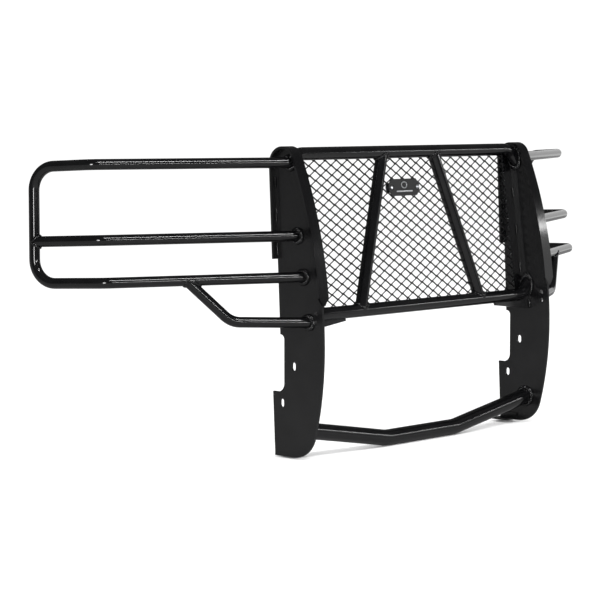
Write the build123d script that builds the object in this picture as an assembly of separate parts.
from build123d import *
import math
import os

# Front grille guard for a pickup truck: a welded steel frame in front of the grille and headlights.
# Millimetres. +X is to the right seen from in front, -Y is forward, +Z is up. While it is drawn,
# X = 0 is the plane of symmetry, Y = 0 is the uprights' rear edge at the top of the bumper notch,
# and Z = 0 is the uprights' bottom edge. The finished guard is moved to the centre of its base.

# ---------------------------------------------------------------- uprights
upright_spacing = 914.0          # between the two plates' middle planes
plate_thickness = 6.35
upright_height = 773.6           # to the plate's own top edge
belly_forward = 148.0            # foremost point of the plate's front edge
belly_height = 278.0
front_upper_radius = 1209.0
front_lower_radius = 860.0
bottom_corner_radius = 75.0
rear_lean = 0.0445               # rearward travel of the rear edge for each millimetre up
notch_top = 308.0
notch_bottom = 163.0
notch_depth = 13.7
notch_top_radius = 12.0
notch_bottom_radius = 22.0
heel_back_top = 25.5             # rear edge below the notch, at its top
heel_back_bottom = 18.0          # and at the plate's bottom
top_front_radius = 32.0
top_rear_radius = 38.0

# ---------------------------------------------------------------- rim strips
rim_width = 35.0
rim_thickness = 6.35
rim_front_end = 388.0            # height where the strip's pointed lower end stops
rim_point_length = 20.0
rim_rear_end = 498.0

# ---------------------------------------------------------------- bolt holes in each upright
bolt_hole_diameter = 11.0
bolt_hole_forward = 123.0
bolt_hole_low = 344.5
bolt_hole_pitch = 22.0
slot_width = 14.0
slot_length = 22.0
upper_slot_forward = 46.5
upper_slot_height = 230.0
lower_slot_forward = 6.0
lower_slot_height = 135.0

# ---------------------------------------------------------------- tubes
crossbar_diameter = 33.4
crossbar_wall = 3.38
crossbar_end_drop = 28.0         # how far the bent ends move towards the frame's middle
crossbar_end_angle = 45.0
crossbar_bend_radius = 55.0
top_crossbar_forward = 22.0
top_crossbar_drop = 13.3         # its centre line below the plates' top edge
bottom_crossbar_forward = 75.0
bottom_crossbar_height = 358.5
a_bar_diameter = 31.75
a_bar_wall = 2.6
a_bar_top_offset = 101.0         # from the middle plane, at the top crossbar's centre line
a_bar_bottom_offset = 242.0      # and at the bottom crossbar's centre line

lower_bar_diameter = 42.2
lower_bar_wall = 3.56
lower_bar_forward = 70.0
lower_bar_middle_height = 18.0
lower_bar_end_height = 71.5
lower_bar_half_flat = 140.0
lower_bar_bend_radius = 120.0

wing_tube_diameter = 26.7
wing_tube_wall = 2.87
wing_sweep = 24.7                # degrees back from straight out, inner stretch
wing_end_sweep = 74.5            # degrees back, outer stretch
wing_inner_reach = 472.0         # sideways travel of the inner stretch, from the plate's middle
wing_end_back_top = 337.5        # Y of the loop's end run, at its top corner
wing_end_back_bottom = 326.5     # and at its bottom corner
wing_outer_fall = 8.0            # how far the outer stretch drops
wing_bend_radius = 50.0
wing_corner_radius = 58.0
wing_top_drop = 34.1             # the top run below the plates' top edge
wing_top_forward = 38.0
wing_middle_share = 0.3587       # of the way up from the bottom run to the top run
wing_middle_forward = 62.0
wing_bottom_height = 456.5
wing_bottom_forward = 82.0
brace_height = 343.8
brace_forward = 99.0
brace_elbow_reach = 188.0        # sideways, from the plate's middle to the brace's elbow
brace_top_reach = 281.0          # sideways, to where the brace meets the wing's bottom run
brace_elbow_rise = 8.9
brace_bend_radius = 60.0

# ---------------------------------------------------------------- mesh and nameplate
weld_gap = 0.2                   # a weld's root gap, left open where round faces meet flat ones
mesh_thickness = 6.0
mesh_cell_width = 41.6
mesh_cell_height = 25.4
mesh_strand = 4.2
mesh_border = 3.0
mesh_smallest_opening = 25.0     # square millimetres; a smaller scrap of a cell stays solid
side_bar_width = 32.0
side_bar_thickness = 5.0
nameplate_end = 9.0              # from a screw's centre to the plate's end
nameplate_height = 45.0
nameplate_thickness = 2.5
nameplate_corner = 12.0
nameplate_down = 92.6            # along the mesh, from the top crossbar's centre line
nameplate_aside = -9.5           # the plate and the mesh pattern sit a little to the left
nameplate_screw_cells = 2.476    # screw spacing in mesh cells, so that both pass through openings
screw_shank_diameter = 5.0
screw_head_diameter = 10.0
screw_head_height = 3.0
washer_diameter = 26.0
washer_thickness = 1.5
nut_across_corners = 9.2
nut_height = 4.0
screw_tail = 1.0                 # thread past the nut
hole_clearance = 0.25            # on the radius, round the screws' shanks

# ---------------------------------------------------------------- small brackets
gusset_reach = 150.0
gusset_inner_depth = 6.0         # below the crossbar, at its end away from the upright
gusset_outer_depth = 24.0        # and against the upright
gusset_thickness = 6.0
foot_reach = 46.0
foot_depth = 54.0
foot_thickness = 5.0
foot_leg_height = 18.0
foot_front_forward = 42.0
foot_height = 3.0
foot_hole_diameter = 13.0

top_crossbar_height = upright_height - top_crossbar_drop
wing_top_height = upright_height - wing_top_drop
wing_middle_height = wing_bottom_height + wing_middle_share * (wing_top_height - wing_bottom_height)
inner_face = upright_spacing / 2 - plate_thickness / 2
outer_face = upright_spacing / 2 + plate_thickness / 2
CUT = 4000.0                     # size of the blocks that trim a part to a plane
TOP_SHARE = 0.97                 # the two top roundings take at most this much of the top


# ---------------------------------------------------------------- helpers
def ring(diameter, bore):
    """A tube's cross-section, or a plain disc where the bore is zero."""
    return Circle(diameter / 2) - Circle(bore / 2) if bore else Circle(diameter / 2)


def carried_along(edge, section):
    """The solid a section makes along one straight run or one arc of a tube's centre line."""
    start, direction = edge @ 0, edge % 0
    placed = Plane(origin=start, z_dir=direction) * section
    if edge.geom_type == GeomType.LINE:
        return extrude(placed, amount=edge.length)
    centre = edge.arc_center
    hinge = Axis(centre, (start - centre).cross(direction))
    return revolve(placed, axis=hinge, revolution_arc=math.degrees(edge.length / edge.radius))


def bar(points, radii, diameter, bore=0.0):
    """A round bar or tube along straight runs joined by arcs: cylinders and parts of tori."""
    path = FilletPolyline(*points, radius=radii) if radii else Line(*points)
    pieces = [carried_along(edge, ring(diameter, bore)) for edge in path.edges()]
    return pieces[0] + pieces[1:] if len(pieces) > 1 else pieces[0]


def tube(points, radii, diameter, wall):
    """A bar bored out to its wall."""
    return bar(points, radii, diameter, diameter - 2 * wall)


def coped(shape, start, end, diameter):
    """Cut a shape back from a straight run of tube, and leave a root gap for the weld."""
    return shape - bar([start, end], None, diameter + 2 * weld_gap)


def between_plates(shape):
    """Trim a shape to the space between the uprights' inner faces."""
    return shape & Box(2 * inner_face, CUT, CUT)


def outboard(shape):
    """Trim a shape to what lies outside the right-hand upright's outer face."""
    return shape & Pos(outer_face + CUT / 2, 0, 0) * Box(CUT, CUT, CUT)


def side_profile(face, thickness):
    """Extrude a face drawn in Y and Z to a plate centred on the right-hand upright."""
    return Pos(upright_spacing / 2, 0, 0) * extrude(Plane.YZ * face, amount=thickness / 2, both=True)


def front_edge(z):
    """Y of the upright's curved front edge at height z: two arcs that meet at the belly."""
    radius = front_upper_radius if z > belly_height else front_lower_radius
    return -belly_forward + radius - math.sqrt(radius**2 - (z - belly_height) ** 2)


def front_arc(z0, z1):
    """The front edge's arc between two heights on the same side of the belly."""
    return ThreePointArc(*[(front_edge(z), z) for z in (z0, (z0 + z1) / 2, z1)])


def rear_edge(z):
    """Y of the upright's rear edge at height z, above the notch."""
    return rear_lean * (z - notch_top)


def corner(face, y, z):
    """The vertex of a flat face nearest to a point."""
    return min(face.vertices(), key=lambda v: math.hypot(v.X - y, v.Y - z))


# ---------------------------------------------------------------- uprights and rim strips
def upper_outline():
    """Outline of the plate above its belly, with its rounded top."""
    top_front = (front_edge(upright_height), upright_height)
    top_rear = (rear_edge(upright_height), upright_height)
    low_rear = (rear_edge(belly_height), belly_height)
    low_front = (front_edge(belly_height), belly_height)
    edges = [front_arc(belly_height, upright_height), Line(top_front, top_rear)]
    edges += [Line(top_rear, low_rear), Line(low_rear, low_front)]
    face = make_face(edges)
    front_lean = math.asin((upright_height - belly_height) / front_upper_radius)
    front_run = top_front_radius * math.tan((math.pi / 2 - front_lean) / 2)
    rear_run = top_rear_radius * math.tan((math.pi / 2 + math.atan(rear_lean)) / 2)
    room = min(1, TOP_SHARE * (top_rear[0] - top_front[0]) / (front_run + rear_run))
    face = fillet(corner(face, *top_front), top_front_radius * room)
    return fillet(corner(face, *top_rear), top_rear_radius * room)


def block(y0, y1, z0, z1):
    """A rectangle in Y and Z."""
    return Pos((y0 + y1) / 2, (z0 + z1) / 2) * Rectangle(y1 - y0, z1 - z0)


def lower_outline():
    """Outline of the plate from its bottom edge to just above the notch."""
    heel_top = (heel_back_top, notch_bottom)
    notch_low = (-notch_depth, notch_bottom)
    notch_high = (-notch_depth, notch_top)
    toe = (front_edge(0), 0)
    corners = [toe, (heel_back_bottom, 0), heel_top, notch_low, notch_high, (0, notch_top)]
    corners += [(rear_edge(rim_front_end), rim_front_end), (front_edge(rim_front_end), rim_front_end)]
    edges = [Line(a, b) for a, b in zip(corners, corners[1:])]
    edges += [front_arc(belly_height, rim_front_end), front_arc(0, belly_height)]
    face = make_face(edges)
    face = fillet(corner(face, *toe), bottom_corner_radius)
    face = fillet(corner(face, *notch_low), notch_bottom_radius)
    return fillet(corner(face, *notch_high), notch_top_radius)


def upright_plate():
    """The cut plate, with its holes and slots."""
    face = lower_outline() + (upper_outline() & block(-CUT, CUT, rim_front_end, CUT))
    for height in (bolt_hole_low, bolt_hole_low + bolt_hole_pitch):
        face -= Pos(-bolt_hole_forward, height) * Circle(bolt_hole_diameter / 2)
    slots = [(upper_slot_forward, upper_slot_height), (lower_slot_forward, lower_slot_height)]
    for forward, height in slots:
        face -= Pos(-forward, height) * SlotOverall(slot_length, slot_width, rotation=90)
    return side_profile(face, plate_thickness)


def rim_strip():
    """Flat bar along the upright's front edge, over its top and down its rear edge."""
    middle = -belly_forward / 2
    band = offset(upper_outline(), amount=rim_thickness) - upper_outline()
    band -= block(-CUT, middle, -CUT, rim_front_end)
    band -= block(middle, CUT, -CUT, rim_rear_end)
    half, tip = rim_width / 2, plate_thickness / 2
    shoulder = rim_front_end + rim_point_length
    front_view = [(-tip, rim_front_end), (tip, rim_front_end), (half, shoulder), (half, CUT)]
    front_view += [(-half, CUT), (-half, shoulder)]
    pointed = extrude(Plane.XZ * make_face(Polyline(*front_view, close=True)), amount=CUT, both=True)
    return side_profile(band, rim_width) & Pos(upright_spacing / 2, 0, 0) * pointed


# ---------------------------------------------------------------- grille frame
grille_rise = top_crossbar_height - bottom_crossbar_height
grille_run = bottom_crossbar_forward - top_crossbar_forward
grille_length = math.hypot(grille_rise, grille_run)
grille_plane = Plane(
    origin=(0, -bottom_crossbar_forward, bottom_crossbar_height),
    x_dir=(1, 0, 0),
    z_dir=(0, -grille_rise, grille_run),
)


def on_grille(u, v, w=0.0):
    """A point u across, v up the grille's slope and w in front of the tubes' centre plane."""
    return tuple(grille_plane.from_local_coords(Vector(u, v, w)))


def crossbar_points(v, towards_middle):
    """Centre line of a crossbar whose ends bend up or down the grille's slope to the plates."""
    slope = math.tan(math.radians(crossbar_end_angle))
    bend = inner_face - crossbar_end_drop / slope
    past = inner_face + crossbar_diameter
    end_v = v + towards_middle * (past - bend) * slope
    return [on_grille(-past, end_v), on_grille(-bend, v), on_grille(bend, v), on_grille(past, end_v)]


top_points = crossbar_points(grille_length, -1)
bottom_points = crossbar_points(0, 1)
crossbar_radii = [crossbar_bend_radius] * 2


def crossbar(points):
    """Bent tube between the plates."""
    return between_plates(tube(points, crossbar_radii, crossbar_diameter, crossbar_wall))


def a_bar():
    """Slanted tube, coped to both crossbars."""
    ends = [on_grille(a_bar_bottom_offset, 0), on_grille(a_bar_top_offset, grille_length)]
    shape = tube(ends, None, a_bar_diameter, a_bar_wall)
    for points in (top_points, bottom_points):
        shape = coped(shape, points[1], points[2], crossbar_diameter)
    return shape


nameplate_up = grille_length - nameplate_down
nameplate_screw_spacing = nameplate_screw_cells * mesh_cell_width
nameplate_width = nameplate_screw_spacing + 2 * nameplate_end
mesh_centre_w = -(crossbar_diameter / 2 + weld_gap + mesh_thickness / 2)
mesh_half_width = inner_face - side_bar_width


def clip(polygon, axis, limit, keep_below):
    """Cut a convex polygon at a line square to an axis, and keep one side."""
    sign = 1 if keep_below else -1
    kept = []
    for p, q in zip(polygon, polygon[1:] + polygon[:1]):
        depth_p = sign * (limit - p[axis])
        depth_q = sign * (limit - q[axis])
        if depth_p >= 0:
            kept.append(p)
        if depth_p * depth_q < 0:
            share = depth_p / (depth_p - depth_q)
            kept.append(tuple(p[i] + share * (q[i] - p[i]) for i in (0, 1)))
    return kept


def polygon_area(polygon):
    """Area inside a closed polygon, by the shoelace sum."""
    pairs = zip(polygon, polygon[1:] + polygon[:1])
    return abs(sum(p[0] * q[1] - q[0] * p[1] for p, q in pairs)) / 2


def mesh_openings():
    """Diamond openings in staggered rows, with a crossing of strands behind the nameplate's middle.

    They are clipped where they meet the sheet's solid border.
    """
    half_w, half_h = mesh_cell_width / 2, mesh_cell_height / 2
    scale = 1 - (mesh_strand / 2) * math.hypot(half_w, half_h) / (half_w * half_h)
    reach = mesh_half_width - mesh_border
    top = grille_length - mesh_border
    columns = math.ceil(2 * reach / mesh_cell_width) + 2
    rows = math.ceil(grille_length / mesh_cell_height) + 1
    for row in range(2 * rows):
        for column in range(-columns, columns):
            u = nameplate_aside + (2 * column + 1 - row % 2) * half_w
            v = nameplate_up % mesh_cell_height + (row - 2) * half_h
            diamond = [(u + scale * half_w, v), (u, v + scale * half_h), (u - scale * half_w, v)]
            diamond.append((u, v - scale * half_h))
            for axis, low, high in ((0, -reach, reach), (1, mesh_border, top)):
                diamond = clip(diamond, axis, high, True) if diamond else diamond
                diamond = clip(diamond, axis, low, False) if diamond else diamond
            if len(diamond) > 2 and polygon_area(diamond) > mesh_smallest_opening:
                yield diamond


def mesh_screen():
    """Expanded metal sheet behind the tubes, between the side bars."""
    reach = mesh_half_width
    corners = [(-reach, 0), (reach, 0), (reach, grille_length), (-reach, grille_length)]
    outer = Wire.make_polygon([(*p, 0) for p in corners], close=True)
    inner = [Wire.make_polygon([(*p, 0) for p in diamond], close=True) for diamond in mesh_openings()]
    sheet = Solid.extrude(Face(outer, inner), Vector(0, 0, mesh_thickness))
    return grille_plane * Pos(0, 0, mesh_centre_w - mesh_thickness / 2) * sheet


def mesh_side_bar():
    """Flat bar that joins the mesh's edge to the upright."""
    flat = Box(side_bar_width, grille_length, side_bar_thickness)
    u = mesh_half_width + side_bar_width / 2
    return grille_plane * Pos(u, grille_length / 2, mesh_centre_w) * flat


# ---------------------------------------------------------------- nameplate
nameplate_back_w = mesh_centre_w + mesh_thickness / 2
mesh_back_w = mesh_centre_w - mesh_thickness / 2
washer_back_w = mesh_back_w - washer_thickness
screw_places = [nameplate_aside + sign * nameplate_screw_spacing / 2 for sign in (-1, 1)]


def at_screws(shape, w):
    """A copy of a shape at each nameplate screw, w in front of the tubes' centre plane."""
    return Compound(children=[grille_plane * Pos(u, nameplate_up, w) * shape for u in screw_places])


def cylinder_from_back(diameter, length):
    """A cylinder that stands on its back face."""
    return Cylinder(diameter / 2, length, align=(Align.CENTER, Align.CENTER, Align.MIN))


def nameplate():
    """Small blank plate with clipped corners."""
    face = Rectangle(nameplate_width, nameplate_height)
    face = chamfer(face.vertices(), nameplate_corner)
    for sign in (-1, 1):
        hole = Circle(screw_shank_diameter / 2 + hole_clearance)
        face -= Pos(sign * nameplate_screw_spacing / 2, 0) * hole
    plate = extrude(face, amount=nameplate_thickness)
    return grille_plane * Pos(nameplate_aside, nameplate_up, nameplate_back_w) * plate


def nameplate_screws():
    """Pan-head screws from the front, ending just past their nuts."""
    tail_w = washer_back_w - nut_height - screw_tail
    head_w = nameplate_back_w + nameplate_thickness
    head = Pos(0, 0, head_w - tail_w) * cylinder_from_back(screw_head_diameter, screw_head_height)
    head = fillet(head.edges().group_by(Axis.Z)[-1], screw_head_height / 2)
    return at_screws(cylinder_from_back(screw_shank_diameter, head_w - tail_w) + head, tail_w)


def nameplate_washers():
    """Wide flat washers behind the mesh."""
    bore = cylinder_from_back(screw_shank_diameter + 2 * hole_clearance, washer_thickness)
    return at_screws(cylinder_from_back(washer_diameter, washer_thickness) - bore, washer_back_w)


def nameplate_nuts():
    """Hexagon nuts; their bore is the screw's own diameter."""
    section = RegularPolygon(nut_across_corners / 2, 6) - Circle(screw_shank_diameter / 2)
    nut = extrude(section, amount=nut_height)
    return at_screws(nut, washer_back_w - nut_height)


# ---------------------------------------------------------------- lower crossbar
def lower_crossbar():
    """Heavy tube in front of the bumper: level in the middle, rising to both uprights."""
    climb = (lower_bar_end_height - lower_bar_middle_height) / (inner_face - lower_bar_half_flat)
    past = inner_face + lower_bar_diameter
    end_height = lower_bar_middle_height + climb * (past - lower_bar_half_flat)
    y = -lower_bar_forward
    half = [(lower_bar_half_flat, y, lower_bar_middle_height), (past, y, end_height)]
    points = [(-x, y, z) for x, y, z in half[::-1]] + half
    radii = [lower_bar_bend_radius] * 2
    return between_plates(tube(points, radii, lower_bar_diameter, lower_bar_wall))


# ---------------------------------------------------------------- wings
def end_run_back(height):
    """Y of the loop's end run at a height."""
    share = (wing_top_height - height) / (wing_top_height - wing_bottom_height)
    return wing_end_back_top + share * (wing_end_back_bottom - wing_end_back_top)


def wing_run(forward, height):
    """Centre line of one wing tube for the right-hand side: plate, bend, end run."""
    plate_x = upright_spacing / 2
    bend_x = plate_x + wing_inner_reach
    bend_y = -forward + wing_inner_reach * math.tan(math.radians(wing_sweep))
    end_y = end_run_back(height)
    end_x = bend_x + (end_y - bend_y) / math.tan(math.radians(wing_end_sweep))
    return [(plate_x, -forward, height), (bend_x, bend_y, height), (end_x, end_y, height - wing_outer_fall)]


loop_points = wing_run(wing_top_forward, wing_top_height)
loop_points += wing_run(wing_bottom_forward, wing_bottom_height)[::-1]
loop_radii = [wing_bend_radius, wing_corner_radius, wing_corner_radius, wing_bend_radius]


def wing_loop():
    """One bent tube: out along the top, down the end and back along the bottom."""
    return outboard(tube(loop_points, loop_radii, wing_tube_diameter, wing_tube_wall))


def end_run_point(height):
    """Where the loop's end run passes a height."""
    high, low = Vector(loop_points[2]), Vector(loop_points[3])
    return tuple(high + (low - high) * ((high.Z - height) / (high.Z - low.Z)))


def wing_middle_bar():
    """Bent bar from the plate to the loop's end run, coped to it."""
    start, bend, _ = wing_run(wing_middle_forward, wing_middle_height)
    points = [start, bend, end_run_point(wing_middle_height - wing_outer_fall)]
    shape = outboard(tube(points, [wing_bend_radius], wing_tube_diameter, wing_tube_wall))
    return coped(shape, loop_points[2], loop_points[3], wing_tube_diameter)


def swept_back(reach, forward, height):
    """A point on a wing's inner stretch, by its sideways reach from the plate's middle."""
    y = -forward + reach * math.tan(math.radians(wing_sweep))
    return (upright_spacing / 2 + reach, y, height)


def wing_brace():
    """Bent tube from the plate, along under the wing and up to the loop's bottom run."""
    start = swept_back(0, brace_forward, brace_height)
    elbow = swept_back(brace_elbow_reach, brace_forward, brace_height + brace_elbow_rise)
    top = swept_back(brace_top_reach, wing_bottom_forward, wing_bottom_height)
    shape = outboard(tube([start, elbow, top], [brace_bend_radius], wing_tube_diameter, wing_tube_wall))
    return coped(shape, loop_points[4], loop_points[5], wing_tube_diameter)


# ---------------------------------------------------------------- small brackets
def crossbar_gusset():
    """Tapered web under the bottom crossbar's end, against the upright."""
    radius = crossbar_diameter / 2
    inner_end = inner_face - gusset_reach
    outline = [(inner_end, 0), (inner_end, -radius - gusset_inner_depth)]
    outline += [(inner_face, -radius - gusset_outer_depth), (inner_face, 0)]
    face = make_face(Polyline(*outline, close=True))
    web = extrude(grille_plane * face, amount=gusset_thickness / 2, both=True)
    return web - bar(bottom_points, crossbar_radii, crossbar_diameter + 2 * weld_gap)


def foot_bracket():
    """Angle bracket inside the upright's foot, with a hole in its level leg."""
    leg = foot_thickness
    section = [(0, 0), (foot_reach, 0), (foot_reach, foot_leg_height)]
    section += [(foot_reach - leg, foot_leg_height), (foot_reach - leg, leg), (0, leg)]
    angle = extrude(Plane.XZ * make_face(Polyline(*section, close=True)), amount=foot_depth)
    angle = Pos(inner_face - foot_reach, foot_depth - foot_front_forward, foot_height) * angle
    drill = Cylinder(foot_hole_diameter / 2, CUT)
    return angle - Pos(inner_face - foot_reach / 2, foot_depth / 2 - foot_front_forward, 0) * drill


# ---------------------------------------------------------------- the guard
PAIRS = {
    "upright_plate": upright_plate,
    "rim_strip": rim_strip,
    "a_bar": a_bar,
    "mesh_side_bar": mesh_side_bar,
    "crossbar_gusset": crossbar_gusset,
    "foot_bracket": foot_bracket,
    "wing_loop": wing_loop,
    "wing_middle_bar": wing_middle_bar,
    "wing_brace": wing_brace,
}

guard = {
    "top_crossbar": crossbar(top_points),
    "bottom_crossbar": crossbar(bottom_points),
    "lower_crossbar": lower_crossbar(),
    "mesh_screen": mesh_screen(),
    "nameplate": nameplate(),
    "nameplate_screws": nameplate_screws(),
    "nameplate_washers": nameplate_washers(),
    "nameplate_nuts": nameplate_nuts(),
}
for name, make in PAIRS.items():
    right = make()
    guard[f"{name}_right"] = right
    guard[f"{name}_left"] = mirror(right, Plane.YZ)

boxes = [shape.bounding_box() for shape in guard.values()]
y_middle = (min(b.min.Y for b in boxes) + max(b.max.Y for b in boxes)) / 2
z_lowest = min(b.min.Z for b in boxes)
to_base = Pos(0, -y_middle, -z_lowest)

os.makedirs("parts", exist_ok=True)
for name, shape in guard.items():
    export_step(to_base * shape, f"parts/{name}.step")

print("moved to the base by", round(-y_middle, 3), round(-z_lowest, 3))
